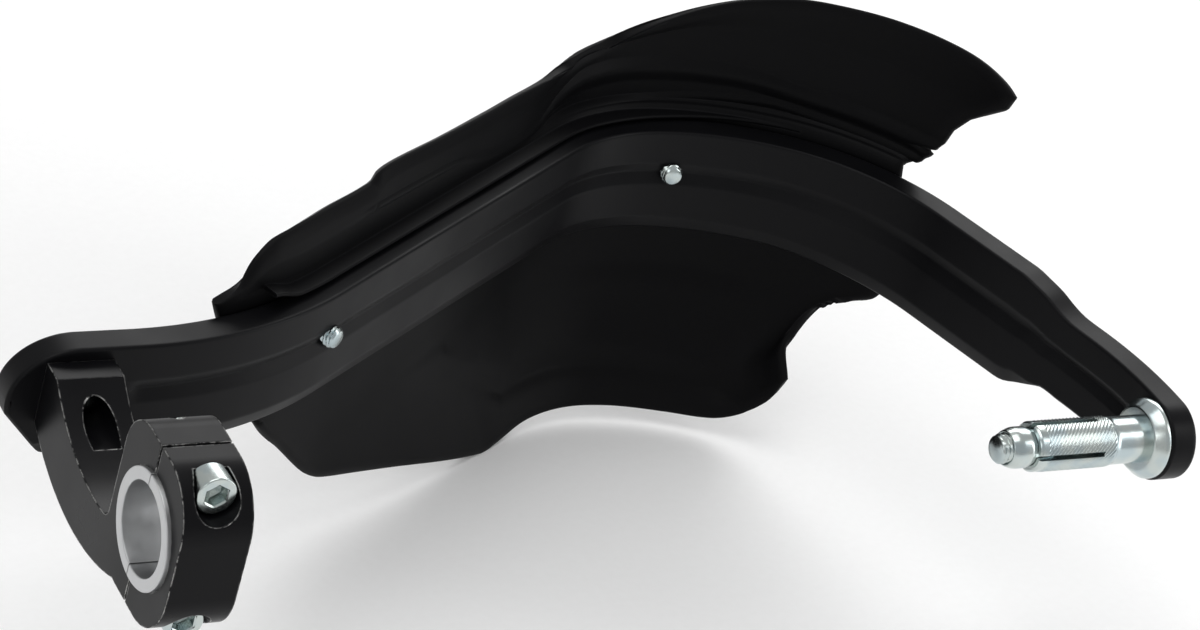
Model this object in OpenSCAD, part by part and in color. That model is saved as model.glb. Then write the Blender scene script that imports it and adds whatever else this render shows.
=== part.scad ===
// Motorbike hand guard, right-hand side: an aluminium bar runs from a clamp on the handlebar, round
// the front of the hand, to an expanding plug in the handlebar's open end, and carries a moulded shield.
// Lengths are in millimetres. +X runs outboard along the handlebar, +Y to the front, +Z up.
// The origin is on the handlebar's axis, in the middle of the clamp.

/* [Handlebar clamp] */
// Diameter of the handlebar that the split bush closes on
handlebar_d = 22.2; // [21.8:0.1:22.4]
// Wall of the split bush
bush_wall = 3.2; // [2.8:0.1:3.2]
// How far the bush stands out of each side of the clamp
bush_stand_out = 1.1; // [0.5:0.1:2]
// Width of the clamp and the arm along the handlebar
clamp_w = 17; // [16:0.5:20]
// Handlebar axis to the front of the clamp
clamp_front = 18.6; // [18:0.1:20]
// Handlebar axis to the rear of the cap
clamp_rear = 17.4; // [17:0.1:19]
// Height of the clamp
clamp_h = 43.6; // [43:0.2:46]
// Saw cut between the arm and its cap
split_gap = 0.8; // [0.4:0.1:1.5]

/* [Arm] */
// Handlebar axis to the face that the bar is bolted on
arm_reach = 65; // [62:1:70]
// Radius of the hollow above the arm
trough_r = 49; // [46:1:52]
// Radius of the arm's belly
belly_r = 60; // [56:1:62]

/* [Bar] */
// Height of the flat bar
bar_h = 32.5; // [30:0.5:36]
// Thickness of the flat bar
bar_t = 8; // [7:0.5:10]
// How far the bar's middle lies below the handlebar's axis
bar_drop = 13.5; // [12:0.5:15]
// Depth of the V groove along the rider's side
groove_depth = 1.5; // [0.5:0.1:2]
// Angle of the first bend, away from the rider
first_bend = 32; // [28:1:34]
// Straight run across the front of the hand
front_run = 112; // [100:1:120]
// Straight run down the outboard side
side_run = 52; // [46:1:60]
// Height of the narrow end that the plug is bolted to
tip_h = 22.5; // [20:0.5:26]

/* [Shield] */
// Wall of the moulding
shell_t = 3; // [2.5:0.1:3.5]
// Gap between the shield and the bar's front
shell_gap = 0.3; // [0.2:0.1:0.6]
// Height of the upper wing, as a part of the drawn height
upper_wing = 1; // [0.8:0.05:1.1]
// Height of the lower wing, as a part of the drawn height
lower_wing = 1; // [0.8:0.05:1.1]
// How far the foot of the lower wing leans back to the rider
lean = 15; // [10:1:17]

/* [Handlebar plug] */
// Diameter of the knurled sleeve
plug_d = 13.3; // [12.6:0.1:14.2]
// Length of the sleeve, from the collar to its open end
sleeve_len = 34.7; // [30:0.1:40]
// Length of the slots that let the sleeve open
slot_len = 20.5; // [14:0.5:22]
// Width of a slot
slot_w = 1.5; // [1.2:0.1:1.6]
// Diameter of the collar where it meets the bar
collar_d = 21.6; // [20:0.2:22]
// Height of the collar
collar_h = 4.1; // [3:0.1:6]

/* [Fasteners] */
// Shank of the clamp's and the shield's screws
screw_d = 6; // [5:0.1:6]
// Shank of the arm's and the plug's bolts
bolt_d = 8; // [7:0.1:8]
// Clearance around a shank in a hole it passes through, on the radius
pass_gap = 0.3; // [0.2:0.05:0.5]
// Clearance around a shank in a threaded hole, on the radius
thread_gap = 0.05; // [0.02:0.01:0.1]

/* [Hidden] */
$fn = 96;

black_metal = "#26272a";
black_plastic = "#17171a";
raw_metal = "#c9cacb";
zinc = "#b9bfc2";

// Clamp
bore_r = handlebar_d / 2;
seat_gap = 0.05;                        // between the bush and the clamp, on the radius
bush_r = bore_r + bush_wall;
seat_r = bush_r + seat_gap;
split_y = 1.5;                          // the cut lies a little in front of the handlebar's axis
clamp_corner_r = 10.5;
clamp_round_r = 14;                     // the cap's corners are rounder than the arm's
clamp_screw_z = seat_r + screw_d / 2 + 0.5;
clamp_head_seat = -6.5;                 // y of the counterbore's floor in the cap
clamp_screw_len = 20;

// Arm
trough_c = [27.5, 36.8];                // y and z of the hollow's centre
belly_c = [34, 33.2];
beam_root_y = 8;                        // the beam's inner end, inside the clamp
head_top = -1.3;                        // z of the flat on top of the arm's head
root_fillet_r = 3.2;
arm_bolt_z = 5.5 - bar_drop;
arm_hole_end = arm_reach - 23;          // y where the threaded hole has left the arm
washer_t = 1.6;
arm_bolt_len = 18;

// Bar: each stretch is [length, 0] where it is straight, or [radius, angle] where it bends;
// an angle above 0 turns away from the rider. The last bend brings the tip square to the handlebar.
tip_edge = 1.05;                        // from the end of the last bend to the plug's axis
knuckle = [[50, -36], [90, -23], [64, -43]];
last_bend = 90 + first_bend + knuckle[0][1] + knuckle[1][1] + knuckle[2][1];
head_run = 14;                          // straight part outboard of the arm's bolt
stretches = [[head_run, 0], [116, first_bend], [front_run, 0], each knuckle,
    [side_run, 0], [95, -last_bend], [tip_edge + tip_h / 2, 0]];
bar_end_x = -16.8;                      // the bar's round inboard end
nose_r = 17.3;
nose_c = [0.5, 1.5];
nose_bevel = [[-20.2, 3.5], [0.2, -20]];        // the slanted cut below the round end
groove_mid = 2.6;                       // height of the groove's floor above the bar's middle
plug_s = s_at(8) + tip_edge;            // distance along the bar to the plug's axis
narrow_len = 51;                        // the narrow end, from the plug's axis
neck_len = 15;                          // the slope from the narrow end to the full height
inner_screw_s = 78.4;
outer_screw_s = 228.9;
shield_screw_len = 16;
shield_washer_d = 12;

// Plug
plug_wall = 1.5;
slot_turn = 7.5;                        // the slots are turned from the bar's edges by this angle
smooth_len = 10;                        // the part of the sleeve without a knurl, next to the collar
taper_len = 11;                         // the sleeve's bore opens over this length
cone_seat = 6;                          // how far the cone reaches into the sleeve
cone_gap = 0.15;
collar_bevel = [2.1, 1.4];              // the collar's slope: inwards, and the height it starts at
cone_out = 7;                           // how far the cone stands out of the sleeve
bolt_out = 2.2;                         // how far the bolt's end stands out of the cone

function bend_len(b) = b[1] == 0 ? b[0] : b[0] * abs(b[1]) * PI / 180;
function s_at(i) = i == 0 ? 0 : s_at(i - 1) + bend_len(stretches[i - 1]);
function heading(i) = i == 0 ? 0 : heading(i - 1) + stretches[i - 1][1];

// The step from the start of a stretch, with radius or length b[0], over the turn t from heading a
function arc_step(r, a, t) = sign(t) * r * [sin(a + t) - sin(a), cos(a) - cos(a + t)];
function step(i) = let (b = stretches[i], a = heading(i))
    b[1] == 0 ? b[0] * [cos(a), sin(a)] : arc_step(b[0], a, b[1]);
function start(i) = i == 0 ? [0, arm_reach] : start(i - 1) + step(i - 1);

// Place and heading on the bar's inner face, s along it from the arm's bolt
function index_at(s, i = 0) = i + 1 < len(stretches) && s > s_at(i + 1) ? index_at(s, i + 1) : i;
function along(s) = let (i = index_at(s), b = stretches[i], a = heading(i), r = s - s_at(i),
        t = b[1] == 0 ? 0 : sign(b[1]) * r / b[0] * 180 / PI)
    [start(i) + (b[1] == 0 ? r * [cos(a), sin(a)] : arc_step(b[0], a, t)), a + t];

// A point of the shield: s along the bar, d in front of the bar's inner face, z above the bar's middle
function on_guard(s, d, z) = let (p = along(s))
    [p[0].x - sin(p[1]) * d, p[0].y + cos(p[1]) * d, z - bar_drop];

// Smooth curve through keys [x, y]: a cubic whose slope at a key is that of the line past it
function slope(k, i) = let (a = max(i - 1, 0), b = min(i + 1, len(k) - 1))
    (k[b].y - k[a].y) / (k[b].x - k[a].x);
function span_of(k, x, i = 0) = i + 2 < len(k) && x > k[i + 1].x ? span_of(k, x, i + 1) : i;
function curve(k, x) = let (i = span_of(k, x), w = k[i + 1].x - k[i].x,
        t = min(max((x - k[i].x) / w, 0), 1))
    (2 * t + 1) * (t - 1) ^ 2 * k[i].y + t ^ 2 * (3 - 2 * t) * k[i + 1].y
    + w * (t * (t - 1) ^ 2 * slope(k, i) + t ^ 2 * (t - 1) * slope(k, i + 1));
function ramp(x, a, b) = let (t = min(max((x - a) / (b - a), 0), 1)) t * t * (3 - 2 * t);
function mix(a, b, t) = a + (b - a) * t;

// A closed solid through ribs, each a list of points that runs up one side of the section and down the
// other; an end is filled with strips between its two sides
module loft(ribs) {
    n = len(ribs[0]);
    last = len(ribs) - 1;
    sides = [for (j = [0 : last - 1], k = [0 : n - 1]) let (a = j * n + k, b = j * n + (k + 1) % n)
        each [[a, b + n, a + n], [a, b, b + n]]];
    strips = [for (k = [0 : floor((n - 3) / 2)]) let (b = k + 1, c = n - 2 - k, d = n - 1 - k)
        each b == c ? [[k, d, b]] : [[k, c, b], [k, d, c]]];
    first_end = strips;
    last_end = [for (f = strips) [f[0], f[2], f[1]] + last * n * [1, 1, 1]];
    polyhedron([for (r = ribs) each r], concat(sides, first_end, last_end), convexity = 6);
}

module along_x(w) rotate([90, 0, 90]) linear_extrude(w, center = true) children();
module rod_y(d, y, h) translate([0, y, 0]) rotate([-90, 0, 0]) cylinder(d = d, h = h);
module on_bar(s, z = 0) {
    p = along(s);
    translate([p[0].x, p[0].y, z - bar_drop]) rotate(p[1]) children();
}

// A screw that points along +Z with its head below z = 0
module socket_screw(d, head_d, head_h, key, length) {
    difference() {
        union() {
            translate([0, 0, 0.5 - head_h]) cylinder(d = head_d, h = head_h - 0.5);
            translate([0, 0, -head_h]) cylinder(d1 = head_d - 1, d2 = head_d, h = 0.5);
            cylinder(d = d, h = length - 0.8);
            translate([0, 0, length - 0.8]) cylinder(d1 = d, d2 = d - 1.2, h = 0.8);
        }
        translate([0, 0, -head_h - 1]) cylinder(d = key / cos(30), h = head_h / 2 + 1, $fn = 6);
    }
}

// A button-head screw that points along +Z: the rim of its head, then its shank
button_head = [[0, -4.4], [3.6, -4.4], [5.6, -3.1], [6.7, -1.5], [7, -0.4], [7, 0]];
module button_screw(length) {
    r = bolt_d / 2;
    difference() {
        rotate_extrude()
            polygon(concat(button_head, [[r, 0], [r, length - 0.6], [r - 0.6, length], [0, length]]));
        translate([0, 0, button_head[0].y - 1]) cylinder(d = 5 / cos(30), h = 3.6, $fn = 6);
    }
}

// The clamp, seen along the handlebar: a block with round corners, drawn as its two ends
module clamp_end(reach, r) {
    translate([-1, -clamp_h / 2]) square([reach - r + 1, clamp_h]);
    translate([-1, r - clamp_h / 2]) square([reach + 1, clamp_h - 2 * r]);
    for (end = [-1, 1]) translate([reach - r, end * (clamp_h / 2 - r)]) circle(r);
}
module clamp_outline() {
    clamp_end(clamp_front, clamp_corner_r);
    mirror([1, 0]) clamp_end(clamp_rear, clamp_round_r);
}

// The beam between the clamp and the bar, hollow above and bellied below
module beam_outline() {
    intersection() {
        translate([beam_root_y, -belly_r]) square([arm_reach - beam_root_y, belly_r + head_top]);
        difference() {
            translate(belly_c) circle(belly_r);
            translate(trough_c) circle(trough_r);
        }
    }
    root_y = clamp_front + root_fillet_r;
    root_z = trough_c.y - sqrt(trough_r ^ 2 - (root_y - trough_c.x) ^ 2);
    difference() {
        translate([clamp_front - 1, root_z - 0.3]) square([root_fillet_r + 1, root_fillet_r + 0.3]);
        translate([root_y, root_z + root_fillet_r]) circle(root_fillet_r);
    }
}

module mount_arm() {
    color(black_metal) difference() {
        along_x(clamp_w) difference() {
            union() {
                intersection() {
                    clamp_outline();
                    translate([split_y + split_gap / 2, -clamp_h]) square([clamp_front, 2 * clamp_h]);
                }
                beam_outline();
            }
            circle(seat_r);
        }
        for (side = [-1, 1])
            translate([0, 0, side * clamp_screw_z])
                rod_y(screw_d + 2 * thread_gap, 0, clamp_head_seat + clamp_screw_len + 1.5);
        translate([0, 0, arm_bolt_z])
            rod_y(bolt_d + 2 * thread_gap, arm_hole_end, arm_reach);
    }
}

module clamp_cap() {
    color(black_metal) difference() {
        along_x(clamp_w) difference() {
            intersection() {
                clamp_outline();
                translate([-clamp_h, -clamp_h]) square([clamp_h + split_y - split_gap / 2, 2 * clamp_h]);
            }
            circle(seat_r);
        }
        for (side = [-1, 1]) translate([0, 0, side * clamp_screw_z]) {
            rod_y(screw_d + 2 * pass_gap, -clamp_rear - 1, clamp_rear + 5);
            rod_y(head_d(screw_d) + 1, -clamp_rear - 1, clamp_rear + 1 + clamp_head_seat);
        }
    }
}

// Half of the split bush: side 1 is the front half, -1 the rear half
module bush_half(side) {
    cut = split_y + side * split_gap / 2;
    color(raw_metal) along_x(clamp_w + 2 * bush_stand_out) difference() {
        circle(bush_r);
        circle(bore_r);
        translate([side > 0 ? cut - 2 * bush_r : cut, -bush_r - 1]) square(2 * bush_r + 2);
    }
}
module bush_front() bush_half(1);
module bush_rear() bush_half(-1);

// Common socket heads are 10 mm wide on a 6 mm shank
function head_d(d) = d * 1.5 + 1;

module clamp_screw(side) {
    color(zinc) translate([0, clamp_head_seat, side * clamp_screw_z]) rotate([-90, 0, 0])
        socket_screw(screw_d, head_d(screw_d) - 0.2, screw_d, 5, clamp_screw_len);
}
module clamp_screw_upper() clamp_screw(1);
module clamp_screw_lower() clamp_screw(-1);

// The bolt comes from the front, through the bar, into the arm
module arm_bolt() {
    color(zinc) translate([0, arm_reach + bar_t + washer_t, arm_bolt_z]) rotate([90, 0, 0])
        button_screw(arm_bolt_len);
}
module arm_bolt_washer() {
    color(zinc) translate([0, arm_reach + bar_t, arm_bolt_z]) rotate([-90, 0, 0])
        washer(bolt_d + 0.4, 16);
}
module washer(inner_d, outer_d) {
    difference() {
        cylinder(d = outer_d, h = washer_t);
        translate([0, 0, -1]) cylinder(d = inner_d, h = washer_t + 2);
    }
}

// The bar's section at s: each point is [depth behind the inner face, height above the middle].
// The groove fades in just outboard of the arm's head.
top_edge = 0.7;
front_edge = 1;
foot_bevel = [1.8, 4.7];                // the wide bevel along the bottom of the inner face
function bar_rib(s) = let (half = bar_h / 2, g = groove_depth * ramp(s, head_run, head_run + 3)) [
    for (p = [[0, foot_bevel.y - half], [0, groove_mid - 3.3], [g, groove_mid], [0, groove_mid + 3.2],
            [0, half - top_edge], [top_edge, half], [bar_t - front_edge, half],
            [bar_t, half - front_edge], [bar_t, front_edge - half], [bar_t - front_edge, -half],
            [foot_bevel.x, -half]])
        on_guard(s, p[0], p[1])];

// Distances along the bar at which its section is drawn: both ends of a straight, steps round a bend
bend_step = 2.6;
function bar_stations() = [bar_end_x - 1,
    for (i = [0 : len(stretches) - 1])
        let (b = stretches[i], steps = b[1] == 0 ? 1 : ceil(abs(b[1]) / bend_step))
            for (j = [0 : steps - 1]) s_at(i) + bend_len(b) * j / steps,
    s_at(len(stretches))];

// What the inboard end loses to its round nose and the bevel below it, seen from the rider's side
module inboard_waste() {
    difference() {
        translate([-2 * nose_r, -bar_h]) square([2 * nose_r + nose_c.x, 2 * bar_h]);
        translate(nose_c) circle(nose_r);
    }
    polygon(concat(nose_bevel, [[nose_bevel[1].x, -bar_h], [-bar_h, -bar_h], [-bar_h, nose_bevel[0].y]]));
}

// What the outboard end loses to its neck and its round tip, seen along the handlebar
module outboard_waste() {
    plug_y = along(plug_s)[0].y;
    y0 = along(plug_s - narrow_len)[0].y;
    y1 = along(plug_s - narrow_len - neck_len)[0].y;
    difference() {
        translate([plug_y - tip_h, -bar_h]) square([y1 - plug_y + tip_h, 2 * bar_h]);
        translate([plug_y, 0]) circle(d = tip_h);
        polygon([[plug_y, -tip_h / 2], [y0, -tip_h / 2], [y1, -bar_h / 2], [y1 + 1, -bar_h / 2],
            [y1 + 1, bar_h / 2], [y1, bar_h / 2], [y0, tip_h / 2], [plug_y, tip_h / 2]]);
    }
}

module guard_bar() {
    plug = along(plug_s)[0];
    color(black_metal) difference() {
        loft([for (s = bar_stations()) bar_rib(s)]);
        translate([0, arm_reach + bar_t + 1, -bar_drop]) rotate([90, 0, 0])
            linear_extrude(bar_t + 2) inboard_waste();
        translate([plug.x - 5 * bar_t, 0, -bar_drop]) rotate([90, 0, 90])
            linear_extrude(8 * bar_t) outboard_waste();
        translate([0, 0, arm_bolt_z]) rod_y(bolt_d + 2 * pass_gap, arm_reach - 1, bar_t + 2);
        for (s = [inner_screw_s, outer_screw_s])
            on_bar(s, groove_mid) rod_y(screw_d + 2 * thread_gap, -1, bar_t + 2);
        on_bar(plug_s) {
            rod_y(bolt_d + 2 * pass_gap, -1, bar_t + 2);
            rod_y(collar_d + 1, -4, 4);     // the flat spot that the collar sits on
        }
    }
}

// Shield: a wall that is lofted through named lines, each running from the inboard to the outboard end.
// The rim and the foot are drawn as heights above the bar's middle against the distance along the bar.
rim_keys = [[42, 19], [47, 24], [53, 32], [63, 34], [80, 34.7], [98, 34.6], [101.5, 37.8], [134, 36.4],
    [158, 35.5],
    [179, 34], [203, 39], [228, 49.5], [252, 56], [276, 59], [292, 59], [301, 57.5], [309, 53.5]];
foot_keys = [[70, -25], [84, -39], [97, -51], [108, -58], [136, -66], [179, -78], [198, -74.5],
    [228, -72], [248, -72], [264, -70.5], [272, -66], [280, -52]];
shell_s = [42, 293];                    // the wall's ends where it lies on the bar
foot_start = 16;                        // below the bar the wall begins this far outboard of its top
rim_end = 309;                          // the wing's outboard corner
foot_ends = [70, 280];
slit = [5, 1.8, 24.8];                  // between two fingers at the outboard end: length, width, height
lip_d = 4.7;                            // the lip that hooks over the bar's top
lip_h = 1.2;
shell_back = bar_t + shell_gap;
band_top = bar_h / 2 + shell_gap;
band_foot = -bar_h / 2 - 0.6;
boss_d = 15;                            // the round pads that the shield's screws press on
boss_h = 1.2;
boss_face = shell_back + shell_t + boss_h;
stations = 84;

// Each line is [part of the way from the bar to the rim, depth], upwards from the lip
upper_lines = [[0.12, 9.6], [0.27, 10.2], [0.42, 13], [0.72, 12], [1, 10]];
// and [part of the way from the bar to the foot, push of the pocket], downwards
lower_lines = [[0.2, 0.6], [0.46, -1.5], [0.56, 2.5], [0.7, -0.5], [1, 0]];

function rim_z(s) = band_top + (curve(rim_keys, s) - 16.5) * upper_wing;
function foot_z(s) = band_foot + (curve(foot_keys, s) + 17) * lower_wing;
// The pocket is pressed into the middle of the lower wing and fades out at both ends
function pocket(s) = ramp(s, 140, 180) * (1 - ramp(s, 262, 276));
function foot_d(s) = shell_back + 0.7 - lean * ramp(s, 55, 210);

function upper_point(line, u) = let (f = line[0],
        s = mix(shell_s[0], mix(shell_s[1], rim_end, f * f), u), z = mix(band_top + lip_h, rim_z(s), f))
    [s, mix(shell_back, line[1], ramp(s, 42, 120)) + (1 - f) * 0.4, z];
function lower_point(line, u) = let (f = line[0],
        s = mix(mix(shell_s[0] + foot_start, foot_ends[0], f), mix(shell_s[1], foot_ends[1], ramp(f, 0, 0.5)), u))
    [s, mix(shell_back + 0.7, foot_d(s), f * f) + line[1] * pocket(s), mix(band_foot, foot_z(s), f)];
function band_point(d, z, u) = [mix(shell_s[0] + (z < 0 ? foot_start : 0), shell_s[1], u), d, z];

// The rider's side from foot to rim, then the front from rim to foot
function rib(u) = let (
        low = [for (i = [len(lower_lines) - 1 : -1 : 0]) lower_point(lower_lines[i], u)],
        high = [for (line = upper_lines) upper_point(line, u)],
        back = concat(low, [band_point(shell_back, band_foot, u), band_point(shell_back, band_top, u),
            band_point(lip_d, band_top, u), band_point(lip_d + 0.3, band_top + lip_h, u)], high),
        front = concat(low, [band_point(shell_back, band_foot, u), band_point(shell_back, band_top - 1, u),
            band_point(shell_back, band_top + 0.4, u), band_point(shell_back + 0.3, band_top + lip_h, u)],
            high))
    concat([for (p = back) on_guard(p[0], p[1], p[2])],
        [for (i = [len(front) - 1 : -1 : 0]) on_guard(front[i][0], front[i][1] + shell_t, front[i][2])]);

module shield() {
    color(black_plastic) difference() {
        union() {
            loft([for (j = [0 : stations]) rib(j / stations)]);
            for (s = [inner_screw_s, outer_screw_s])
                on_bar(s, groove_mid) rod_y(boss_d, shell_back + 1, boss_face - shell_back - 1);
        }
        for (s = [inner_screw_s, outer_screw_s])
            on_bar(s, groove_mid) rod_y(screw_d + 2 * pass_gap, 0, 2 * boss_face);
        on_bar(shell_s[1], slit[2]) translate([-slit[0], 0, -slit[1] / 2])
            cube([2 * slit[0], 2 * boss_face, slit[1]]);
    }
}

module shield_screw(s) {
    color(zinc) on_bar(s, groove_mid)
        translate([0, boss_face + washer_t, 0]) rotate([90, 0, 0])
            socket_screw(screw_d, head_d(screw_d), screw_d, 5, shield_screw_len);
}
module shield_washer(s) {
    color(zinc) on_bar(s, groove_mid) translate([0, boss_face, 0]) rotate([-90, 0, 0])
        washer(screw_d + 0.4, shield_washer_d);
}
module shield_screw_inner() shield_screw(inner_screw_s);
module shield_screw_outer() shield_screw(outer_screw_s);
module shield_washer_inner() shield_washer(inner_screw_s);
module shield_washer_outer() shield_washer(outer_screw_s);

// Places a child that grows along +Z so that it grows out of the bar's inner face, to the clamp's side
module on_plug() {
    on_bar(plug_s) rotate([90, 0, 0]) children();
}

module plug_collar() {
    color(zinc) on_plug() rotate_extrude() polygon([
        [bolt_d / 2 + pass_gap, 0], [collar_d / 2 - 0.4, 0], [collar_d / 2, 0.4], [collar_d / 2, collar_bevel.y],
        [collar_d / 2 - collar_bevel.x, collar_h], [bolt_d / 2 + pass_gap, collar_h]]);
}

module plug_sleeve() {
    top = collar_h + sleeve_len;
    color(zinc) on_plug() difference() {
        rotate_extrude() polygon([[bolt_d / 2 + pass_gap, collar_h], [plug_d / 2 - 0.3, collar_h],
            [plug_d / 2 - 0.3, collar_h + smooth_len], [plug_d / 2, collar_h + smooth_len + 1],
            [plug_d / 2, top - 0.5], [plug_d / 2 - 0.5, top], [plug_d / 2 - plug_wall, top],
            [bolt_d / 2 + pass_gap, top - taper_len]]);
        for (turn = [0, 90]) rotate(turn + slot_turn)
            translate([-plug_d, -slot_w / 2, top - slot_len]) cube([2 * plug_d, slot_w, slot_len + 1]);
    }
}

// The cone that the bolt draws into the sleeve; its side keeps a small gap to the sleeve's taper
module plug_cone() {
    top = collar_h + sleeve_len;
    nose_d = plug_d - 3.4;
    bore = bolt_d / 2 + pass_gap;
    seat = mix(bore, plug_d / 2 - plug_wall, 1 - cone_seat / taper_len) - cone_gap;
    color(zinc) on_plug() rotate_extrude() polygon([
        [bolt_d / 2 + thread_gap, top - cone_seat], [seat, top - cone_seat],
        [nose_d / 2, top + 0.5], [nose_d / 2, top + cone_out - 0.8], [nose_d / 2 - 0.8, top + cone_out],
        [bolt_d / 2 + thread_gap, top + cone_out]]);
}

// The bolt lies through the tip, the collar, the sleeve and the cone, its button head outside the tip
module plug_bolt() {
    color(zinc) on_plug() translate([0, 0, -bar_t])
        button_screw(bar_t + collar_h + sleeve_len + cone_out + bolt_out);
}

guard_bar();
shield();
mount_arm();
clamp_cap();
bush_front();
bush_rear();
clamp_screw_upper();
clamp_screw_lower();
arm_bolt();
arm_bolt_washer();
plug_collar();
plug_sleeve();
plug_cone();
plug_bolt();
shield_screw_inner();
shield_screw_outer();
shield_washer_inner();
shield_washer_outer();
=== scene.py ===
# %% [markdown]
# # A motorbike hand guard
#
# The real thing is a flat aluminium bar that is bent round the front of the rider's hand. One end is
# bolted to a clamp on the handlebar, the other carries a plug that swells inside the handlebar's open
# end, and a moulded plastic shield hangs on its front. The measured CAD model is the frame of this
# scene: pieces whose shape is right keep it, and the bar, the shield and the turned parts are drawn
# again here as smooth surfaces, in the same places.

import math

import bmesh
import bpy
import numpy as np
from mathutils import Matrix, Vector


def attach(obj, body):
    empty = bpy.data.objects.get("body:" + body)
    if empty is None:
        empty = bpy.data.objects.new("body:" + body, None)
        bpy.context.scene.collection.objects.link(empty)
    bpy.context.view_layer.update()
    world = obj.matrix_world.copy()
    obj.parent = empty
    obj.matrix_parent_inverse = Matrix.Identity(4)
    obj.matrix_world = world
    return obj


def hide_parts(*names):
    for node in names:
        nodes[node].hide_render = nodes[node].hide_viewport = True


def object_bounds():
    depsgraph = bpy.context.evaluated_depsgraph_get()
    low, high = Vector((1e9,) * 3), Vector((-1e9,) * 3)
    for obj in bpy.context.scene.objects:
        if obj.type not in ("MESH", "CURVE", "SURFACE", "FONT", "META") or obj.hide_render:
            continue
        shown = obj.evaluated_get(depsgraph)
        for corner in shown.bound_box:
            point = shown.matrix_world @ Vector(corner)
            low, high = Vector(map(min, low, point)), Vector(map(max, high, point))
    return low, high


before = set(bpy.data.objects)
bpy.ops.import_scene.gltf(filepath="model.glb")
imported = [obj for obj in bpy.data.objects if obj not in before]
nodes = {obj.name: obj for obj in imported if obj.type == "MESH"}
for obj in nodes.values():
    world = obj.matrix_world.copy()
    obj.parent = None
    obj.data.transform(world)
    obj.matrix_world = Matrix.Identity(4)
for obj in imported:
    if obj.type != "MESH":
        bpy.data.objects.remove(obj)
cad_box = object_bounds()
MM = 0.001
print("CAD nodes:", len(nodes))

# %% [markdown]
# ## The line that everything follows
#
# A workshop bends such a bar from straight stock, so its line is straights and round bends and nothing
# else. Giving each place by its distance s along the bar, its depth d in front of the bar's inner face
# and its height z above the bar's middle lets the bar and the shield be drawn as if the bar were flat.

# %% Places along the bar
HEAD_RUN, FIRST_BEND = 14.0, 32.0
KNUCKLE_BENDS = [(50.0, -36.0), (90.0, -23.0), (64.0, -43.0)]
LAST_BEND = 90.0 + FIRST_BEND + sum(turn for _, turn in KNUCKLE_BENDS)
ARM_REACH, BAR_DROP = 65.0, 13.5
TIP_EDGE, TIP_HALF = 1.05, 11.25
STRETCHES = [(HEAD_RUN, 0.0), (116.0, FIRST_BEND), (112.0, 0.0), *KNUCKLE_BENDS, (52.0, 0.0),
             (95.0, -LAST_BEND), (TIP_EDGE + TIP_HALF, 0.0)]


def along(s):
    """Place on the bar's inner face as a complex number x + iy, and heading in radians, s mm along it.

    On a straight of heading a the place moves by s e^(ia). On a bend of radius r that has turned by t
    it moves by r (e^(i(a + t)) - e^(ia)) / i, with the sign of the turn.
    """
    s = np.asarray(s, float)
    place, heading = np.zeros(s.shape, complex), np.zeros(s.shape)
    corner, a, begin = complex(0, ARM_REACH), 0.0, 0.0
    for size, degrees in STRETCHES:
        side = math.copysign(1.0, degrees)
        length = size * abs(math.radians(degrees)) if degrees else size
        here = (s >= begin) if begin else np.isfinite(s)
        run = s - begin
        turned = side * run / size if degrees else 0.0 * run
        bend = side * size * -1j * (np.exp(1j * (a + turned)) - np.exp(1j * a))
        moved = bend if degrees else run * np.exp(1j * a)
        place[here], heading[here] = (corner + moved)[here], (a + turned)[here]
        end = math.radians(degrees)
        corner += side * size * -1j * (np.exp(1j * (a + end)) - np.exp(1j * a)) if degrees else (
            size * np.exp(1j * a))
        a, begin = a + end, begin + length
    return place, heading


def on_guard(s, d, z):
    """Points in metres, s along the bar, d in front of its inner face and z above its middle, all in mm."""
    place, heading = along(s)
    p = place + 1j * d * np.exp(1j * heading)
    return np.stack(np.broadcast_arrays(p.real, p.imag, z - BAR_DROP), -1) * MM


BAR_LENGTH = sum(r * abs(math.radians(t)) if t else r for r, t in STRETCHES)
PLUG_S = BAR_LENGTH - TIP_HALF
INNER_SCREW_S, OUTER_SCREW_S, GROOVE_Z = 78.4, 228.9, 2.6
print(f"bar {BAR_LENGTH:.1f} mm long, plug axis at {PLUG_S:.1f} mm")

# %% [markdown]
# ## From a grid of points to a mesh
#
# Every new piece is a surface over a grid: rows run along it and columns run round its section. One
# function joins neighbouring points with quads, and one turns the arrays into a finished piece: it
# merges the points that fall together at poles and seams, points the faces outwards and hides the CAD
# node that the piece stands for.

# %% Grids and pieces
def quads(rows, columns, round_columns=True, round_rows=False):
    """Four corner numbers for each cell of a grid, wrapping round where a direction closes on itself."""
    i, j = np.meshgrid(np.arange(rows if round_rows else rows - 1),
                       np.arange(columns if round_columns else columns - 1), indexing="ij")
    down, right = (i + 1) % rows, (j + 1) % columns
    return np.stack([i * columns + j, i * columns + right, down * columns + right, down * columns + j],
                    -1).reshape(-1, 4)


def make_piece(name, parts, finish, slot, *cad_nodes, sharp=40.0):
    """One object out of several grids, each given as (points, quads)."""
    offsets = np.cumsum([0] + [points.reshape(-1, 3).shape[0] for points, _ in parts])
    points = np.concatenate([p.reshape(-1, 3) for p, _ in parts])
    faces = np.concatenate([f + o for (_, f), o in zip(parts, offsets)])
    mesh = bpy.data.meshes.new(name)
    mesh.from_pydata(points.tolist(), [], faces.tolist())
    work = bmesh.new()
    work.from_mesh(mesh)
    bmesh.ops.remove_doubles(work, verts=work.verts, dist=2e-6)
    bmesh.ops.dissolve_degenerate(work, edges=work.edges, dist=1e-6)
    bmesh.ops.recalc_face_normals(work, faces=work.faces)
    work.to_mesh(mesh)
    work.free()
    mesh.shade_smooth()
    mesh.set_sharp_from_angle(angle=math.radians(sharp))
    piece = bpy.data.objects.new(name, mesh)
    bpy.context.scene.collection.objects.link(piece)
    mesh.materials.append(finish)
    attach(piece, "root")
    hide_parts(*cad_nodes)
    print(f"{name}: {len(mesh.polygons)} faces")
    return piece


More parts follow.
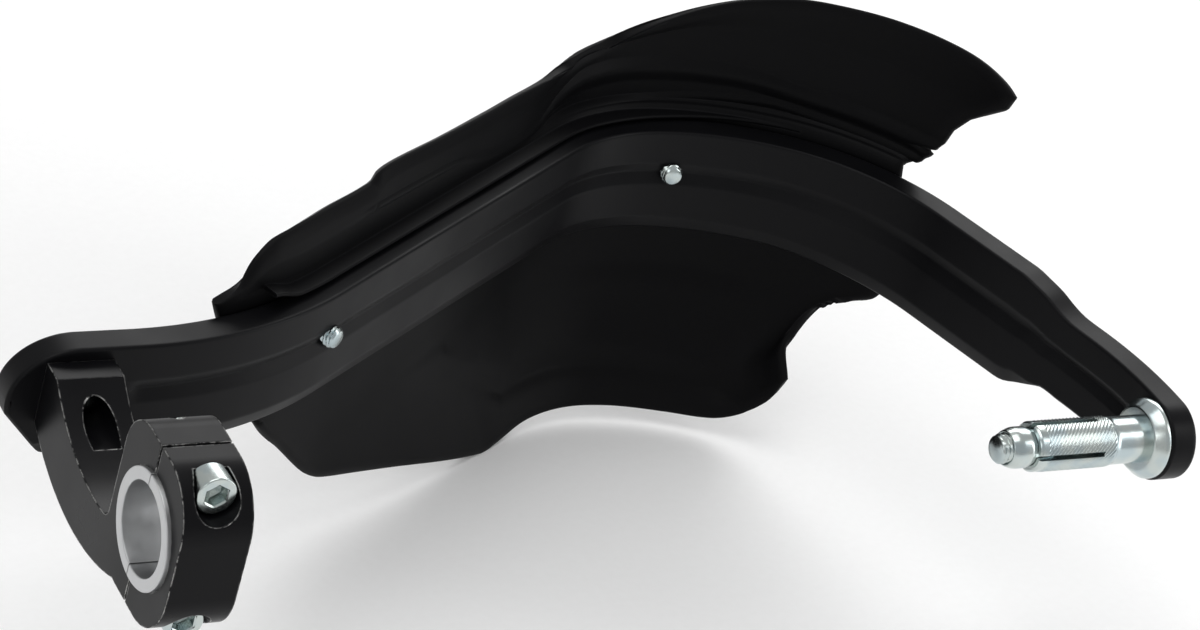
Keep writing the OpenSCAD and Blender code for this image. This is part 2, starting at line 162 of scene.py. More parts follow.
def curve(keys, x):
    """Smooth line through keys (x, y): a cubic whose slope at a key is that of the line past it."""
    keys = np.array(keys, float)
    x = np.clip(x, keys[0, 0], keys[-1, 0])
    before, after = np.roll(keys, 1, 0), np.roll(keys, -1, 0)
    before[0], after[-1] = keys[0], keys[-1]
    slope = (after - before)[:, 1] / (after - before)[:, 0]
    i = np.clip(np.searchsorted(keys[:, 0], x, "right") - 1, 0, len(keys) - 2)
    width = keys[i + 1, 0] - keys[i, 0]
    t = (x - keys[i, 0]) / width
    return ((2 * t + 1) * (t - 1) ** 2 * keys[i, 1] + t ** 2 * (3 - 2 * t) * keys[i + 1, 1]
            + width * (t * (t - 1) ** 2 * slope[i] + t ** 2 * (t - 1) * slope[i + 1]))


def ramp(x, a, b):
    """0 up to a, 1 from b on, and a soft S between them."""
    t = np.clip((x - a) / (b - a), 0, 1)
    return t * t * (3 - 2 * t)


def mix(a, b, t):
    return a + (b - a) * t


# %% [markdown]
# ## Finishes
#
# The four finishes are black anodised aluminium, black moulded plastic, turned bare aluminium and
# zinc-plated steel. Each is built from noise at the real size of its grain, in object coordinates,
# because these surfaces have no pattern that follows the shape. One small function adds a node.

# %% Helpers for materials
def colour(code):
    """An sRGB hex colour as the linear colour that Blender works with."""
    c = np.array([int(code[i:i + 2], 16) for i in (1, 3, 5)]) / 255
    return (*np.where(c <= 0.04045, c / 12.92, ((c + 0.055) / 1.055) ** 2.4), 1.0)


def add(material, kind, sockets=None, **settings):
    """Adds one node; sockets gives each input a value or the output that feeds it."""
    node = material.node_tree.nodes.new(kind)
    for key, value in settings.items():
        setattr(node, key, value)
    for key, value in (sockets or {}).items():
        if isinstance(value, bpy.types.NodeSocket):
            material.node_tree.links.new(value, node.inputs[key])
        else:
            node.inputs[key].default_value = value
    return node


def new_material(name):
    material = bpy.data.materials.new(name)
    material.use_nodes = True
    material.node_tree.nodes.clear()
    return material


# %% [markdown]
# ### Black anodised aluminium
#
# The bar, the arm and its cap are bead blasted and then dyed black. The oxide is a hard satin layer
# with a fine even grain, and where an edge has been knocked it chips to bright metal. The chips could be
# painted on, but then they would sit at one place on one mesh. The Bevel node finds the edges of any
# mesh instead: where the rounded normal differs from the true one, an edge is near.

# %% Black anodised aluminium
def anodised(name, tint, rough, chips, edge_radius):
    """Satin black oxide; chips is how much of the edges is worn to bright metal."""
    m = new_material(name)
    place = add(m, "ShaderNodeTexCoord").outputs["Object"]
    # The blasting leaves pits of about 0.1 mm, drawn 0.4 mm wide here so that they show at all
    pits = add(m, "ShaderNodeTexNoise", {"Vector": place, "Scale": 1 / (0.4 * MM), "Detail": 3.0})
    # Handling leaves patches a few centimetres wide that are a little smoother
    patches = add(m, "ShaderNodeTexNoise", {"Vector": place, "Scale": 1 / (22 * MM), "Detail": 4.0})
    chipping = add(m, "ShaderNodeTexNoise", {"Vector": place, "Scale": 1 / (2.2 * MM), "Detail": 5.0,
                                             "Roughness": 0.65})
    true_normal = add(m, "ShaderNodeNewGeometry").outputs["Normal"]
    soft_normal = add(m, "ShaderNodeBevel", {"Radius": edge_radius * MM}, samples=6).outputs["Normal"]
    likeness = add(m, "ShaderNodeVectorMath", {0: true_normal, 1: soft_normal}, operation="DOT_PRODUCT")
    near_edge = add(m, "ShaderNodeMapRange", {"Value": likeness.outputs["Value"], "From Min": 0.995,
                                              "From Max": 0.86})
    worn = add(m, "ShaderNodeMath", {0: near_edge.outputs["Result"], 1: chipping.outputs["Fac"]},
               operation="MULTIPLY")
    bright = add(m, "ShaderNodeMapRange", {"Value": worn.outputs["Value"], "From Min": 0.62 - 0.3 * chips,
                                           "From Max": 0.72 - 0.3 * chips}).outputs["Result"]
    dye = add(m, "ShaderNodeMix", {0: patches.outputs["Fac"], 6: colour(tint[0]), 7: colour(tint[1])},
              data_type="RGBA")
    base = add(m, "ShaderNodeMix", {0: bright, 6: dye.outputs[2], 7: colour("#b4b4b2")},
               data_type="RGBA")
    rub = add(m, "ShaderNodeMapRange", {"Value": patches.outputs["Fac"], "From Min": 0.3, "From Max": 0.7,
                                        "To Min": rough - 0.05, "To Max": rough + 0.07})
    roughness = add(m, "ShaderNodeMix", {0: bright, 2: rub.outputs["Result"], 3: 0.32})
    grain = add(m, "ShaderNodeBump", {"Height": pits.outputs["Fac"], "Distance": 0.02 * MM,
                                      "Strength": 0.5, "Normal": soft_normal})
    shader = add(m, "ShaderNodeBsdfPrincipled", {
        "Base Color": base.outputs[2], "Metallic": bright, "Roughness": roughness.outputs[0],
        "Specular IOR Level": 0.11, "Normal": grain.outputs["Normal"]})
    add(m, "ShaderNodeOutputMaterial", {"Surface": shader.outputs["BSDF"]})
    return m


bar_finish = anodised("bead_blasted_black_anodised_bar", ("#0a0a0c", "#0f0f11"), 0.38, 0.15, 0.5)
arm_finish = anodised("bead_blasted_black_anodised_arm", ("#0b0b0d", "#101012"), 0.3, 0.62, 0.7)
print("anodised finishes:", bar_finish.name, arm_finish.name)

# %% [markdown]
# ### Black moulded plastic
#
# The shield is injection moulded in a tough black plastic, from a mould with a fine spark-eroded
# grain. The grain scatters the light, so the surface is dull, and the flow of the melt leaves slightly
# glossier clouds. One roughness for all would look like card, so two noises share the work: a fine one
# bends the normal and a slow one moves the roughness.

# %% Black moulded plastic
def moulded():
    """Dull black plastic with a fine grain and slow clouds of gloss."""
    m = new_material("injection_moulded_black_plastic")
    place = add(m, "ShaderNodeTexCoord").outputs["Object"]
    # Grain of about 0.15 mm in the mould, drawn 0.45 mm wide so that it shows
    grain = add(m, "ShaderNodeTexNoise", {"Vector": place, "Scale": 1 / (0.45 * MM), "Detail": 4.0})
    clouds = add(m, "ShaderNodeTexNoise", {"Vector": place, "Scale": 1 / (35 * MM), "Detail": 3.0})
    scuff_and_highlight_noise = add(m, "ShaderNodeTexNoise", {"Vector": place, "Scale": 1 / (6 * MM), "Detail": 6.0,
                                           "Roughness": 0.7})
    true_normal = add(m, "ShaderNodeNewGeometry").outputs["Normal"]
    soft_normal = add(m, "ShaderNodeBevel", {"Radius": 0.8 * MM}, samples=6).outputs["Normal"]
    likeness = add(m, "ShaderNodeVectorMath", {0: true_normal, 1: soft_normal}, operation="DOT_PRODUCT")
    near_edge = add(m, "ShaderNodeMapRange", {"Value": likeness.outputs["Value"], "From Min": 0.99,
                                              "From Max": 0.85})
    # Edges turn lighter where the noise is high: partly rubbed plastic, partly a painted highlight along the
    # rounded rim
    rubbed_edge_and_highlight = add(m, "ShaderNodeMath", {0: near_edge.outputs["Result"], 1: scuff_and_highlight_noise.outputs["Fac"]},
                 operation="MULTIPLY")
    body = add(m, "ShaderNodeMix", {0: clouds.outputs["Fac"], 6: colour("#08080a"),
                                    7: colour("#0e0e0f")}, data_type="RGBA")
    base = add(m, "ShaderNodeMix", {0: rubbed_edge_and_highlight.outputs["Value"], 6: body.outputs[2],
                                    7: colour("#222224")}, data_type="RGBA")
    rough = add(m, "ShaderNodeMapRange", {"Value": clouds.outputs["Fac"], "From Min": 0.3,
                                          "From Max": 0.7, "To Min": 0.42, "To Max": 0.52})
    bump = add(m, "ShaderNodeBump", {"Height": grain.outputs["Fac"], "Distance": 0.03 * MM,
                                     "Strength": 0.5})
    shader = add(m, "ShaderNodeBsdfPrincipled", {
        "Base Color": base.outputs[2], "Roughness": rough.outputs["Result"],
        "Specular IOR Level": 0.07, "Normal": bump.outputs["Normal"]})
    add(m, "ShaderNodeOutputMaterial", {"Surface": shader.outputs["BSDF"]})
    return m


plastic_finish = moulded()

# %% [markdown]
# ### Turned aluminium and zinc-plated steel
#
# The split bush is turned from bare aluminium, so fine tool lines run round it. They are a wave across
# the handlebar's axis, which is cheaper than grooves in the mesh and as true at this size. The fasteners
# and the plug are steel with a thin zinc layer: bright, and faintly green and blue from the passivation.

# %% Bare aluminium and zinc
def turned_aluminium():
    """Bright metal with tool lines square to the handlebar."""
    m = new_material("turned_bare_aluminium")
    place = add(m, "ShaderNodeTexCoord").outputs["Object"]
    # A feed of 0.15 mm a turn, drawn as lines 0.5 mm apart
    lines = add(m, "ShaderNodeTexWave", {"Vector": place, "Scale": 1 / (10 * MM), "Distortion": 0.6,
                                         "Detail": 2.0}, bands_direction="X")
    haze = add(m, "ShaderNodeTexNoise", {"Vector": place, "Scale": 1 / (5 * MM), "Detail": 4.0})
    base = add(m, "ShaderNodeMix", {0: haze.outputs["Fac"], 6: colour("#b4b5b7"), 7: colour("#cbcccc")},
               data_type="RGBA")
    rough = add(m, "ShaderNodeMapRange", {"Value": haze.outputs["Fac"], "From Min": 0.3, "From Max": 0.7,
                                          "To Min": 0.3, "To Max": 0.42})
    soft_normal = add(m, "ShaderNodeBevel", {"Radius": 0.4 * MM}, samples=6).outputs["Normal"]
    bump = add(m, "ShaderNodeBump", {"Height": lines.outputs["Fac"], "Distance": 0.02 * MM,
                                     "Strength": 0.6, "Normal": soft_normal})
    shader = add(m, "ShaderNodeBsdfPrincipled", {
        "Base Color": base.outputs[2], "Metallic": 1.0, "Roughness": rough.outputs["Result"],
        "Normal": bump.outputs["Normal"]})
    add(m, "ShaderNodeOutputMaterial", {"Surface": shader.outputs["BSDF"]})
    return m


def zinc_plated():
    """Greenish white metal with a faint bluish bloom."""
    m = new_material("zinc_plated_steel")
    place = add(m, "ShaderNodeTexCoord").outputs["Object"]
    bloom = add(m, "ShaderNodeTexNoise", {"Vector": place, "Scale": 1 / (6 * MM), "Detail": 3.0})
    specks = add(m, "ShaderNodeTexNoise", {"Vector": place, "Scale": 1 / (0.8 * MM), "Detail": 4.0})
    cool = add(m, "ShaderNodeMapRange", {"Value": bloom.outputs["Fac"], "From Min": 0.42,
                                         "From Max": 0.62})
    base = add(m, "ShaderNodeMix", {0: cool.outputs["Result"], 6: colour("#c6cecb"),
                                    7: colour("#b7c4c7")}, data_type="RGBA")
    rough = add(m, "ShaderNodeMapRange", {"Value": specks.outputs["Fac"], "From Min": 0.3,
                                          "From Max": 0.7, "To Min": 0.2, "To Max": 0.27})
    bump = add(m, "ShaderNodeBump", {"Height": specks.outputs["Fac"], "Distance": 0.006 * MM,
                                     "Strength": 0.5})
    shader = add(m, "ShaderNodeBsdfPrincipled", {
        "Base Color": base.outputs[2], "Metallic": 1.0, "Roughness": rough.outputs["Result"],
        "Normal": bump.outputs["Normal"]})
    add(m, "ShaderNodeOutputMaterial", {"Surface": shader.outputs["BSDF"]})
    return m


bush_finish = turned_aluminium()
zinc_finish = zinc_plated()
print("finishes:", plastic_finish.name, bush_finish.name, zinc_finish.name)

# %% [markdown]
# ## The arm and its cap
#
# The arm is milled from thick plate: flat sides, a hollow above and a belly below. The CAD surfaces are
# exact, so they stay, and only take the finish. Its rounded and chipped edges come from the material.

# %% Finishes on the CAD pieces
for name in ("mount_arm", "clamp_cap"):
    nodes[name].data.materials.clear()
    nodes[name].data.materials.append(arm_finish)
print("kept from CAD: mount_arm, clamp_cap")

# %% [markdown]
# ## The flat bar
#
# The bar's section is a flat rectangle with broken corners, a wide bevel along the lower edge and a
# shallow V groove on the rider's side. It could be swept along the line as it is, but then its two ends
# would be cut square. Instead each column of the section says how far in from the bar's outline it
# lies, so the same columns run round the rounded inboard end and round the tip.

# %% The bar's outline
BAR_HALF, BAR_T, NOSE_R, NOSE_S, NOSE_Z = 16.25, 8.0, 17.3, 0.5, 1.5
BEVEL_W, GROOVE_DEEP, LOW_INSET, HIGH_INSET = 4.7, 1.5, 0.35, 1.2
TOP_KEYS = [(0, 15.5), (60, 15.5), (110, 15.8), (336, 15.85), (341, 15.1), (346, 14.1), (351, 12.4),
            (355, 11.5), (359, 11.25)]
FOOT_KEYS = [(262, 16.25), (290, 17.3), (336, 17.7), (339.5, 17.6), (342, 16.9), (345, 15.2), (348, 13.6),
             (351, 12.0), (353, 11.1), (355.5, 10.95), (359, 11.25)]
nose_turn = np.linspace(0, math.pi / 2, 26)
body_s = np.linspace(NOSE_S, PLUG_S, 230)[1:]
tip_turn = np.linspace(0, math.pi / 2, 22)[1:]


def bar_outline(inset, side):
    """s and z of each row on the outline moved in by inset; side 1 is the top, -1 the bottom.

    The nose is a quarter ellipse above and a circle below, cut off by the slanted cut; the tip is a half
    circle; between them the edge lies at the half height less the inset.
    """
    inset = np.broadcast_to(inset, (len(nose_turn) + len(body_s) + len(tip_turn),))
    a, b, c = np.split(inset, [len(nose_turn), len(nose_turn) + len(body_s)])
    s = np.concatenate([NOSE_S - (NOSE_R - a) * np.cos(nose_turn), body_s,
                        PLUG_S + (TIP_HALF - c) * np.sin(tip_turn)])
    if side > 0:
        nose = NOSE_Z + (TOP_KEYS[0][1] - NOSE_Z - a) * np.sin(nose_turn)
    else:
        circle = NOSE_Z - (NOSE_R + 0.45 - a) * np.sin(nose_turn)
        slant = 2.0 - 1.152 * (s[:len(a)] + 20.2) + 1.526 * a
        nose = np.maximum(np.maximum(circle, slant), a - BAR_HALF)
    body = side * (curve(TOP_KEYS if side > 0 else FOOT_KEYS, body_s) - b)
    return s, np.concatenate([nose, body, side * (TIP_HALF - c) * np.cos(tip_turn)])


# %% The bar's surface
def fillet(radius, steps=5):
    """Depth and inset of points on a quarter round, from the face to the edge, and one on each flat."""
    a = np.linspace(0, math.pi / 2, steps)
    depth = np.concatenate([[0], radius * (1 - np.cos(a)), [radius + 0.4]])
    inset = np.concatenate([[radius + 0.4], radius * (1 - np.sin(a)), [0]])
    return depth, inset


def bar_columns():
    """The section's columns in order, as arrays of s, depth and z over all rows."""
    _, foot = bar_outline(0.0, -1)
    bevel = np.clip(-BAR_HALF + BEVEL_W - foot, 0.7, BEVEL_W)
    bevel_d = 0.6 + (bevel - 0.7) * 0.3
    low_s, low_z = bar_outline(bevel + LOW_INSET, -1)
    high_s, high_z = bar_outline(HIGH_INSET, 1)
    next_s, next_z = bar_outline(bevel + LOW_INSET + 0.4, -1)
    columns = [(low_s, 0 * low_s, low_z), (next_s, 0 * next_s, next_z)]
    depth = GROOVE_DEEP * ramp(high_s, HEAD_RUN, HEAD_RUN + 3)
    flat = 2 * BAR_HALF - BEVEL_W - LOW_INSET - HIGH_INSET
    for dz, part in ((-4.1, 0), (-3.6, 0), (-3.1, 0.09), (-0.4, 0.92), (0, 0.98), (0.4, 0.92), (3.0, 0.09),
                     (3.5, 0), (4.0, 0)):
        w = (GROOVE_Z + dz + BAR_HALF - BEVEL_W - LOW_INSET) / flat
        columns.append((mix(low_s, high_s, w), part * depth, mix(low_z, high_z, w)))
    for d, e in zip(*fillet(0.7)):
        s, z = bar_outline(e, 1)
        columns.append((s, d + 0 * s, z))
    for d, e in list(zip(*fillet(1.0)))[::-1]:
        s, z = bar_outline(e, 1)
        columns.append((s, BAR_T - d + 0 * s, z))
    for d, e in zip(*fillet(1.0)):
        s, z = bar_outline(e, -1)
        columns.append((s, BAR_T - d + 0 * s, z))
    for part_d, part_e in ((1.3, 0), (1.1, 0), (0.9, 0.06), (0.8, 0.14), (0.12, 0.88), (0.03, 0.97)):
        s, z = bar_outline(bevel * part_e, -1)
        columns.append((s, bevel_d * part_d, z))
    return [np.stack(values, 1) for values in zip(*columns)]


bar_s, bar_d, bar_z = bar_columns()
bar_points = on_guard(bar_s, bar_d, bar_z)
plug_place, _ = along(PLUG_S)
plug_x, plug_y = float(plug_place.real), float(plug_place.imag)
# A flat spot on the tip, where the collar sits
from_plug = np.hypot(bar_points[..., 1] / MM - plug_y, bar_z)
on_inside = (bar_d < 0.5) & (from_plug < 11.3) & (bar_s > PLUG_S - 20)
bar_points[..., 0] = np.where(on_inside, np.maximum(bar_points[..., 0], plug_x * MM), bar_points[..., 0])
make_piece("flat_bar", [(bar_points, quads(*bar_s.shape))], bar_finish, "black_anodised_aluminium",
           "guard_bar", sharp=30)

# %% [markdown]
# ## The moulded shield
#
# The shield is one wall, about 3 mm thick, that stands up from the bar as a wing and hangs below it as
# a second wing, which leans back to the rider and has a pocket pressed into it. The wall is drawn
# through named lines that run along it: the rim, the foot and the creases between them. Straight lines
# between them, softened a little, give the rounded creases of a moulding. The wall's thickness falls
# off near its edge like a round, which gives the edge its shape.

# %% The shield's named lines
SHELL_T, BAND_TOP, BAND_FOOT = 3.0, 17.75, -16.85
EDGE_R, HEM_W, HEM_TURN, SHIELD_RUN, BOSS_D, BOSS_R = 0.6, 3.0, 0.9, 250.0, 12.5, 7.2
RIM = [(40, 18.2), (43, 19.4), (48.5, 21.4), (50.5, 23.5), (52.5, 26.4), (56, 28.6), (63, 30.9), (80, 32.5),
       (102.2, 32.5), (104.6, 34.6), (112, 35.4), (134, 34.3), (158, 33.7), (170, 33.7), (182, 33.4),
       (192, 33.7), (203, 35.8), (213, 40.4), (228, 47.8), (240, 52.4), (252, 55.2), (264, 56.3), (276, 57.1),
       (289, 57.3), (297, 56.8), (304, 55.0), (309, 52.5)]
FOOT = [(70, -25), (76, -32), (84, -39.3), (97, -52), (103, -56.3), (108, -58.4), (120, -61.8),
        (136, -66.3), (179, -78.5), (187, -77.5), (198, -74.8), (211, -73.6), (228, -73.3), (248, -73.6),
        (262, -72.6), (270, -68.6), (275, -63.6), (278, -58.9), (280, -52.4)]
UPPER_END = [(17.75, 288), (20.2, 291.3), (23.4, 293.3), (24.3, 289.6), (25.3, 289.8), (26.0, 294),
             (28, 295), (33, 296), (38.7, 299), (48, 307.4), (52.5, 309)]
LOWER_END = [(-52.4, 280), (-45.7, 276), (-40.6, 277), (-33.5, 280), (-28.6, 284), (-24.8, 290),
             (-22.4, 293), (-16.85, 294)]
CREASE = [(40, 26), (100, 27.1), (130, 26.7), (142, 25.8), (156, 21.7), (168, 20.4), (182, 21.9),
          (194, 27.7), (202, 31.6), (225, 32.6), (248, 30.9), (260, 28.9), (271, 28.3), (309, 28.5)]
STRIP = [(180, 21.5), (203, 25.6), (214, 26.8), (245, 27), (257, 25.6), (267, 24.8), (309, 24)]
BEAD = [(180, 17.8), (208, 18.6), (224, 19.8), (239, 21.3), (254, 22.3), (266, 21), (309, 20)]
POCKET_TOP = [(145, -40.9), (162, -36.8), (179, -35.1), (211, -34), (234, -32.9), (264, -33.3)]
POCKET_WALL = [(158, -40.5), (172, -50), (189, -57.2), (212, -56.5), (242, -58.8), (262, -59.6)]
POCKET_LOW = [(170, -56.4), (189, -67.3), (209, -65.6), (234, -66.1), (256, -67.5)]


def soften(field, passes):
    """Each value becomes half itself and a quarter of each neighbour across the wall, passes times."""
    for _ in range(passes):
        padded = np.concatenate([field[:1], field, field[-1:]])
        field = (padded[:-2] + 2 * field + padded[2:]) / 4
    return field


def through_lines(z, lines):
    """Depth at height z on straight steps between lines (z, depth), given from the lowest up."""
    depth = lines[0][1] + 0 * z
    for (z0, d0), (z1, d1) in zip(lines, lines[1:]):
        depth = depth + (d1 - d0) * np.clip((z - z0) / np.maximum(z1 - z0, 0.25), 0, 1)
    return depth


# %% The upper wing's lie
def refined(count, first):
    """0 to 1 with extra values next to both ends, for the round of an edge."""
    extra = np.array(first)
    return np.unique(np.concatenate([np.linspace(0, 1, count), extra, 1 - extra]))


across = refined(232, (0.0006, 0.0018, 0.0032))[None, :]
up = refined(96, (0.0015, 0.004, 0.008))[:, None]
down = refined(90, (0.0012, 0.003, 0.007))[:, None]


def upper_wing():
    """s, depth, z and distance to the rim in mm; rows go up from the bar."""
    rim = curve(RIM, mix(40, 309, across))
    end = np.interp(mix(BAND_TOP, 52.5, up), *np.transpose(UPPER_END))
    s = mix(40, end, across)
    z = mix(BAND_TOP, rim, up)
    right = ramp(s, 172, 204)
    crease = np.minimum(curve(CREASE, s), rim - 3.6)
    strip = mix(crease - 2, np.interp(s, *np.transpose(STRIP)), right)
    bead = np.interp(s, *np.transpose(BEAD))
    middle = mix(crease + 3, rim, 0.5)
    start = ramp(s, 42, 60)
    lines = [(BAND_TOP + 0 * s, 8.7 + 0 * s),
             (BAND_TOP + 1.6 + 0 * s, mix(8.9, 12.0, right)),
             (mix(crease - 6, strip - 1.4, right), mix(8.9, 12.2, right)),
             (mix(crease - 0.5, (crease + strip) / 2 - 0.4, right), mix(8.8, 10.9, right)),
             (crease + 0.4, mix(9.0, 12.1, right)),
             (crease + 2.2, mix(9.4, 11.9, right)),
             (middle, mix(10.0, 12.4, right)),
             (rim, mix(10.7, 10.5, right))]
    depth = soften(through_lines(z, lines), 5)
    depth = depth - 0.55 * right * np.exp(-((z - bead) / 0.8) ** 2)
    bright_crease = ramp(s, 94, 104) * (1 - ramp(s, 132, 150))
    depth = depth - 0.35 * bright_crease * np.exp(-((z - crease) / 0.45) ** 2)
    return s, mix(8.5, depth, start), z, (1 - up) * (rim - BAND_TOP)


def lower_wing():
    """s, depth, z and distance to the foot in mm; rows go down from the bar."""
    foot = curve(FOOT, mix(70, 280, across))
    end = curve(LOWER_END, mix(BAND_FOOT, -52.4, down))
    s = mix(mix(58, 70, down), end, across)
    z = mix(BAND_FOOT, foot, down)
    depth = mix(9.0, 9.0 - 15 * ramp(s, 55, 210), down ** 2)
    window = ramp(s, 132, 192) * (1 - ramp(s, 256, 277))
    top, wall, low = (np.interp(s, *np.transpose(k)) for k in (POCKET_TOP, POCKET_WALL, POCKET_LOW))
    ledge = window * ramp(s, 168, 205)
    lines = [(foot - 1, 0 * s), (low - 4, 0.2 * window), (low, 0.4 * window),
             (low + 1.5, 0.4 * window + 1.5 * ledge), (wall, 0.1 * window), (top - 6, 0.9 * window),
             (top, 1.8 * window), (top + 10, 1.0 * window), (BAND_FOOT + 0 * s, 0 * s)]
    # The lines are listed from the foot up, so each is kept above the one before
    heights = np.maximum.accumulate(np.stack([line[0] + 0 * s for line in lines]), 0)
    relief = through_lines(z, [(h, line[1]) for h, line in zip(heights, lines)])
    return s, depth + soften(relief, 6), z, (1 - down) * (BAND_FOOT - foot)


# %% The shield's wall
def wall(s, depth, z, half):
    """Front and rear points of a wall: its middle surface plus and minus half its thickness along the
    normal, which is the cross product of the middle surface's two directions."""
    middle = on_guard(s, depth + SHELL_T / 2, z)
    run, rise = np.gradient(middle, axis=1), np.gradient(middle, axis=0)
    normal = np.cross(rise, run)
    normal /= np.maximum(np.linalg.norm(normal, axis=-1, keepdims=True), 1e-12)
    return middle + normal * half[..., None] * MM, middle - normal * half[..., None] * MM


upper, lower = upper_wing(), lower_wing()
band = np.linspace(0, 1, 12)[1:-1, None]
band_rows = [mix(lower[0][:1], upper[0][:1], band),
             8.4 + 0.5 * (2 * band - 1) ** 4 + 0 * across,
             mix(BAND_FOOT, BAND_TOP, band) + 0 * across,
             99 + 0 * band + 0 * across]
shell_s, shell_d, shell_z, edge_v = [np.concatenate([low[::-1], mid, high])
                                     for low, mid, high in zip(lower, band_rows, upper)]
edge_u = np.minimum(across, 1 - across) * SHIELD_RUN + 0 * shell_s
from_edge = np.minimum(edge_v, edge_u)
# The hem turns away from the rider over its last 3 mm
shell_d = shell_d + HEM_TURN * np.clip(1 - from_edge / HEM_W, 0, 1) ** 2 * ramp(shell_s, 44, 62)
flat_edge = SHELL_T / 2 - EDGE_R + np.sqrt(EDGE_R ** 2 - (EDGE_R - np.minimum(edge_v, EDGE_R)) ** 2)
round_edge = np.sqrt((SHELL_T / 2) ** 2 - (SHELL_T / 2 - np.minimum(edge_u, SHELL_T / 2)) ** 2)
half = np.minimum(flat_edge, round_edge)
front, rear = wall(shell_s, shell_d, shell_z, half)
# Round pads on the front, which the screws' washers press on
for s0 in (INNER_SCREW_S, OUTER_SCREW_S):
    reach = np.hypot(shell_s - s0, shell_z - GROOVE_Z)
    pad = on_guard(shell_s, BOSS_D + 0 * shell_s, shell_z)
    front = mix(front, pad, (1 - ramp(reach, BOSS_R, BOSS_R + 1))[..., None])
shell_loop = np.concatenate([rear, front[::-1]])
shell_part = (shell_loop, quads(*shell_loop.shape[:2], round_columns=False, round_rows=True))


LIP_START, LIP_END, LIP_Z = 56, 262, 17.35


def lip():
    """The thin lip over the bar's top: a flat ribbon with a round edge, as a loop round its section."""
    s = np.linspace(LIP_START, LIP_END, 140)[:, None]
    a = np.concatenate([[0], np.linspace(0, math.pi, 7), [math.pi]])[None, :]
    edge = mix(4.7, 9.3, ramp(s, 205, LIP_END))
    on_edge = np.concatenate([[0], np.ones(7), [0]])[None, :]
    d = mix(9.5, edge, on_edge) - 0.6 * np.sin(a) * on_edge
    z = LIP_Z + 2.6 * (1 - ramp(s, LIP_START, LIP_START + 11)) + 0.6 * np.cos(a)
    return on_guard(s + 0 * d, d, z)


lip_points = lip()
lip_ends = np.repeat(lip_points[[0, -1]].mean(1, keepdims=True), lip_points.shape[1], 1)
lip_points = np.concatenate([lip_ends[:1], lip_points, lip_ends[1:]])
make_piece("moulded_shield", [shell_part, (lip_points, quads(*lip_points.shape[:2]))], plastic_finish,
           "black_plastic", "shield", sharp=50)

# %% [markdown]
# ## Turned and threaded pieces
#
# Collar, sleeve, cone and screws are turned, so each is a profile carried round an axis. The profile is
# a list of radius and distance along the axis. A hexagon socket is the same thing with a radius that
# changes with the angle, and a thread is one whose radius also changes with the distance.

# %% Turning a profile
def turned(profile, axis_point, axis, steps=96, shape=None):
    """Carries (distance, radius) round an axis. shape(distance, radius, angle) may change the radius."""
    profile = np.array(profile, float)
    angle = np.linspace(0, 2 * math.pi, steps, endpoint=False)[None, :]
    h, r = profile[:, :1] + 0 * angle, profile[:, 1:2] + 0 * angle
    r = shape(h, r, angle) if shape else r
    axis = np.array(axis, float) / np.linalg.norm(axis)
    side = np.cross(axis, (0, 0, 1))
    side /= np.linalg.norm(side)
    other = np.cross(axis, side)
    points = (np.array(axis_point) + h[..., None] * axis
              + (r * np.cos(angle))[..., None] * side + (r * np.sin(angle))[..., None] * other)
    return points * MM, quads(*h.shape)


def rounded(corners, radius=0.3, steps=3):
    """The profile with each inner corner replaced by a short curve that starts radius before it."""
    corners = np.array(corners, float)
    out = [corners[:1]]
    for a, b, c in zip(corners, corners[1:], corners[2:]):
        before, after = a - b, c - b
        reach = min(radius, np.linalg.norm(before) / 2.1, np.linalg.norm(after) / 2.1)
        start = b + before / np.linalg.norm(before) * reach
        stop = b + after / np.linalg.norm(after) * reach
        t = np.linspace(0, 1, steps + 1)[:, None]
        out.append((1 - t) ** 2 * start + 2 * t * (1 - t) * b + t ** 2 * stop)
    return np.concatenate(out + [corners[-1:]])


def hexagon(angle, across_flats):
    """Distance from the middle to a hexagon's side at that angle."""
    return across_flats / 2 / np.cos((angle + math.pi / 6) % (math.pi / 3) - math.pi / 6)


def screw(head_d, head_h, key, shank_d, length, pitch, place, axis, button=False):
    """A socket screw as one closed surface; h = 0 under the head, and the shank runs to h = length."""
    r, k = head_d / 2, key / 2
    depth = head_h * 0.55
    top = [(-head_h, k + 0.5), (-head_h, r * 0.52), (-head_h * 0.72, r * 0.84), (-head_h * 0.3, r * 0.985),
           (0, r)] if button else [(-head_h, k + 0.5), (-head_h, r), (0, r)]
    socket = np.array([(-head_h + depth + 0.9, 0.0), (-head_h + depth, k * 0.98), (-head_h + 0.35, k),
                       (-head_h, k + 0.35)])
    head = rounded(top, 0.5 if not button else 0.8, 5)
    neck = np.array([(0, shank_d / 2 + 0.2), (0.2, shank_d / 2)])
    count = int((length - 1.4) / pitch * 6)
    shank = np.stack([np.linspace(0.4, length - 0.7, count), np.full(count, shank_d / 2)], 1)
    tip = np.array([(length - 0.25, shank_d / 2 - 0.5), (length, shank_d / 2 - 0.8), (length, 0.0)])
    profile = np.concatenate([socket, head, neck, shank, tip])

    def shape(h, radius, angle):
        """A hexagon where the socket is, and a thread that rises one pitch a turn along the shank."""
        index = np.arange(len(h))[:, None]
        is_socket = (index < len(socket)) & (index > 0)
        wave = np.abs(((h / pitch - angle / (2 * math.pi)) % 1.0) * 2 - 1)
        cut = (index >= len(socket) + len(head) + 2) & (index < len(profile) - 3)
        threaded = radius - 0.55 * pitch * wave * cut * ramp(h, length - 11, length - 10)
        return np.where(is_socket, hexagon(angle, 2 * radius), threaded)

    return turned(profile, place, axis, 72, shape)


# %% [markdown]
# ### Clamp screws, arm bolt and shield screws
#
# All are common socket screws. The clamp's two are seen by the rider, down in their counterbores; the
# shield's two come from the front, and their threaded ends stand a little out of the groove. Each could be
# joined from a cylinder, a ring and a hexagon, but one turned profile has no hidden faces.

